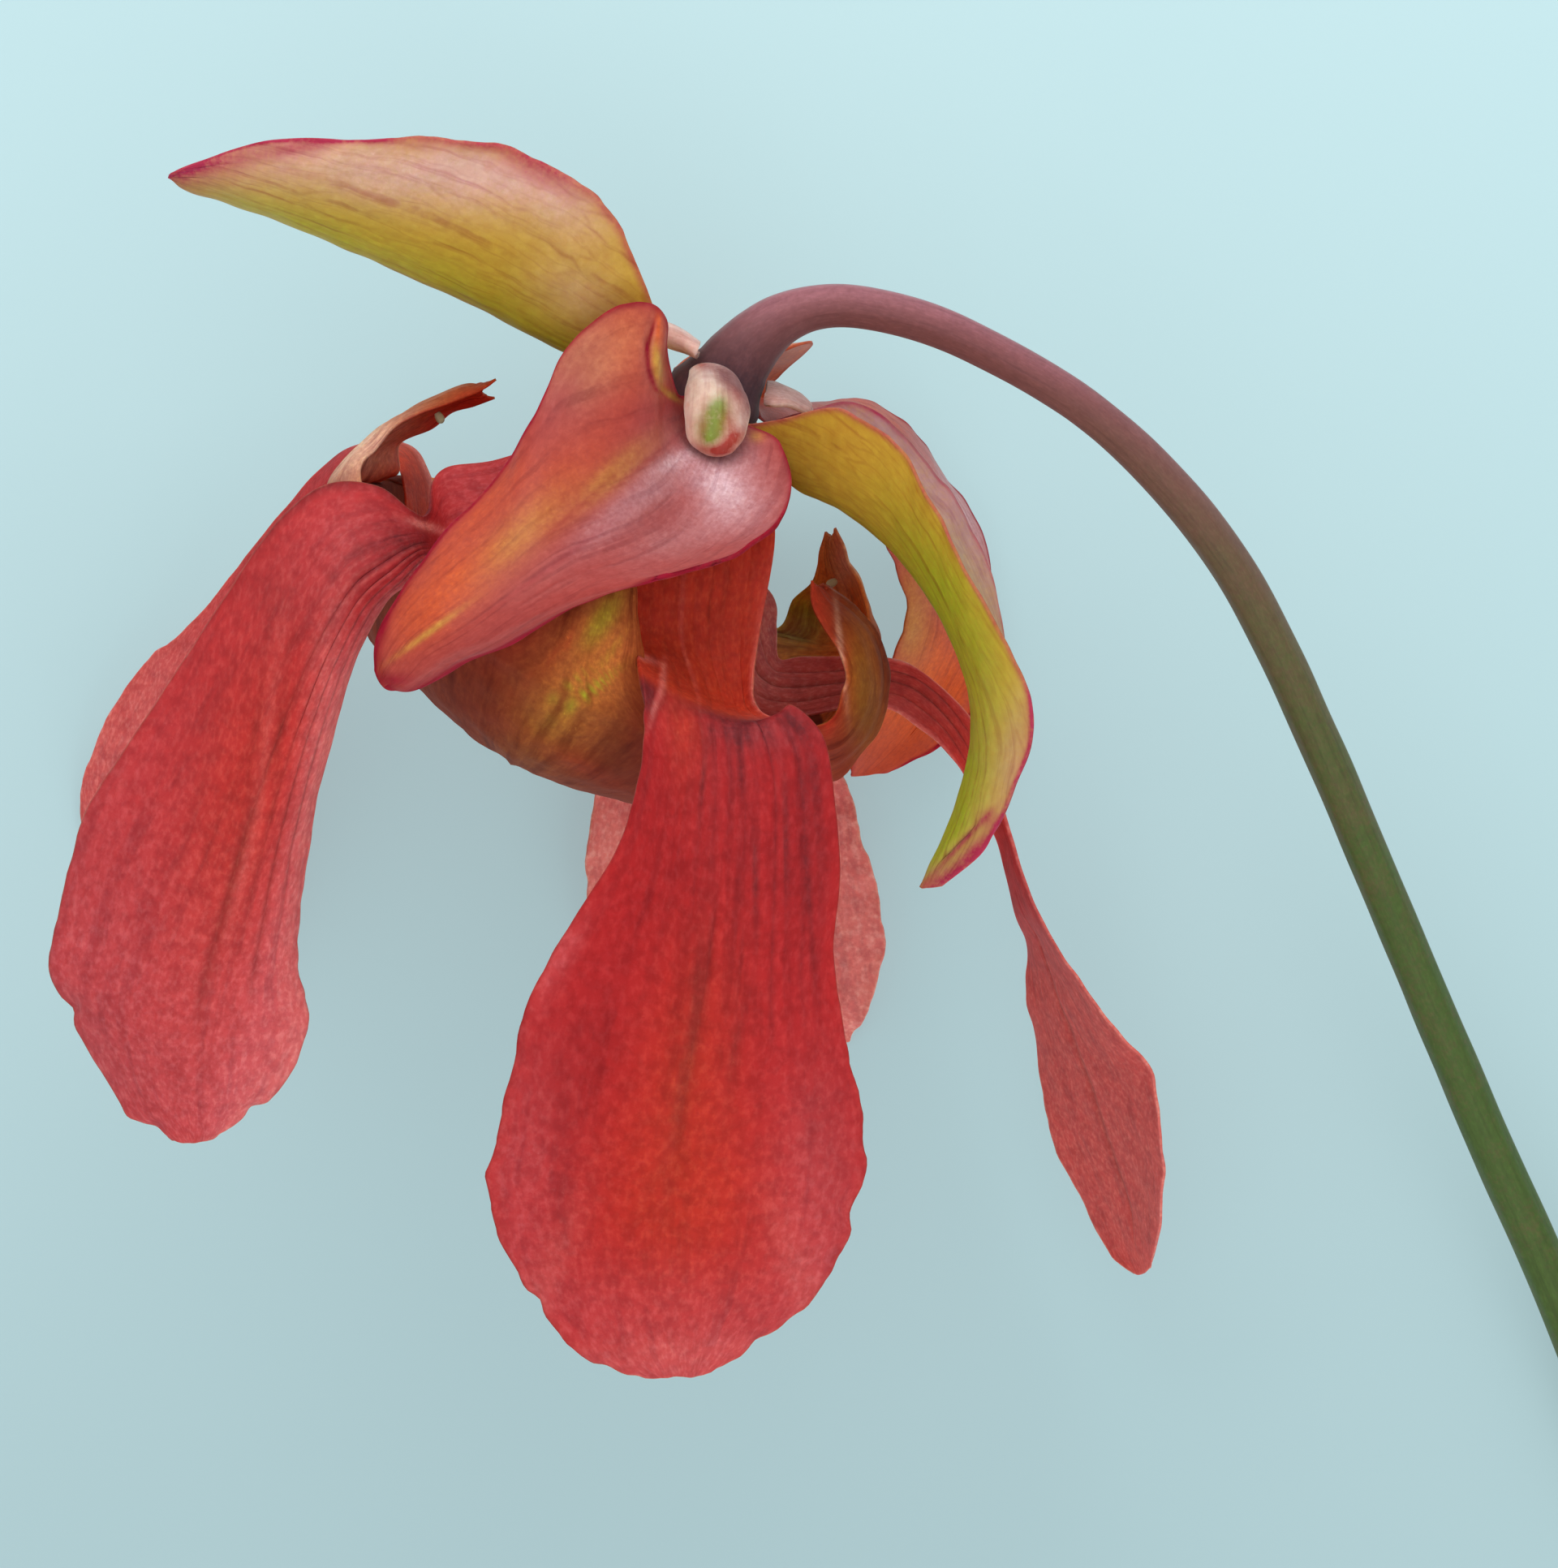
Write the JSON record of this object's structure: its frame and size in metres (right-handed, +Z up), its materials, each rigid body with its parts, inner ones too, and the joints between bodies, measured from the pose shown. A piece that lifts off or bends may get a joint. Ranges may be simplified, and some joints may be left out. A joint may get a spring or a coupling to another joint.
{
  "type": "pitcher plant flower",
  "caption": "Nodding flower of a hybrid pitcher plant on its cut, arched scape, with drooping red petals, reflexed sepals and an umbrella-shaped style, laid on its back.",
  "frame": {"origin": "centre of the bounding box in plan, on the surface that the flower lies on", "axes": "+Z up from the surface, out of the flower's seen side; +Y the way the top of the arch points; +X towards the cut end of the scape"},
  "size_m": [0.1449, 0.1266, 0.0695],
  "materials": {
    "scape": "satin",
    "bract": "satin",
    "sepal_green": "satin",
    "sepal_red": "satin",
    "petal": "satin",
    "umbrella": "satin",
    "ovary": "matte",
    "stigma": "matte",
    "stamen": "matte"
  },
  "bodies": {
    "root": {"scape": "scape", "bract_front": "bract", "bract_left": "bract", "bract_right": "bract", "sepal_a": "sepal_green", "sepal_b": "sepal_red", "sepal_c": "sepal_green", "sepal_d": "sepal_red", "sepal_e": "sepal_red", "petal_1": "petal", "petal_2": "petal", "petal_3": "petal", "petal_4": "petal", "petal_5": "petal", "style_umbrella": "umbrella", "ovary": "ovary", "stigma_1": "stigma", "stigma_2": "stigma", "stigma_3": "stigma", "stigma_4": "stigma", "stigma_5": "stigma", "stamen_01": "stamen", "stamen_02": "stamen", "stamen_03": "stamen", "stamen_04": "stamen", "stamen_05": "stamen", "stamen_06": "stamen", "stamen_07": "stamen", "stamen_08": "stamen", "stamen_09": "stamen", "stamen_10": "stamen", "stamen_11": "stamen", "stamen_12": "stamen", "stamen_13": "stamen", "stamen_14": "stamen", "stamen_15": "stamen", "stamen_16": "stamen", "stamen_17": "stamen", "stamen_18": "stamen", "stamen_19": "stamen", "stamen_20": "stamen", "stamen_21": "stamen", "stamen_22": "stamen", "stamen_23": "stamen", "stamen_24": "stamen", "stamen_25": "stamen", "stamen_26": "stamen", "stamen_27": "stamen", "stamen_28": "stamen", "stamen_29": "stamen", "stamen_30": "stamen"}
  },
  "joints": []
}
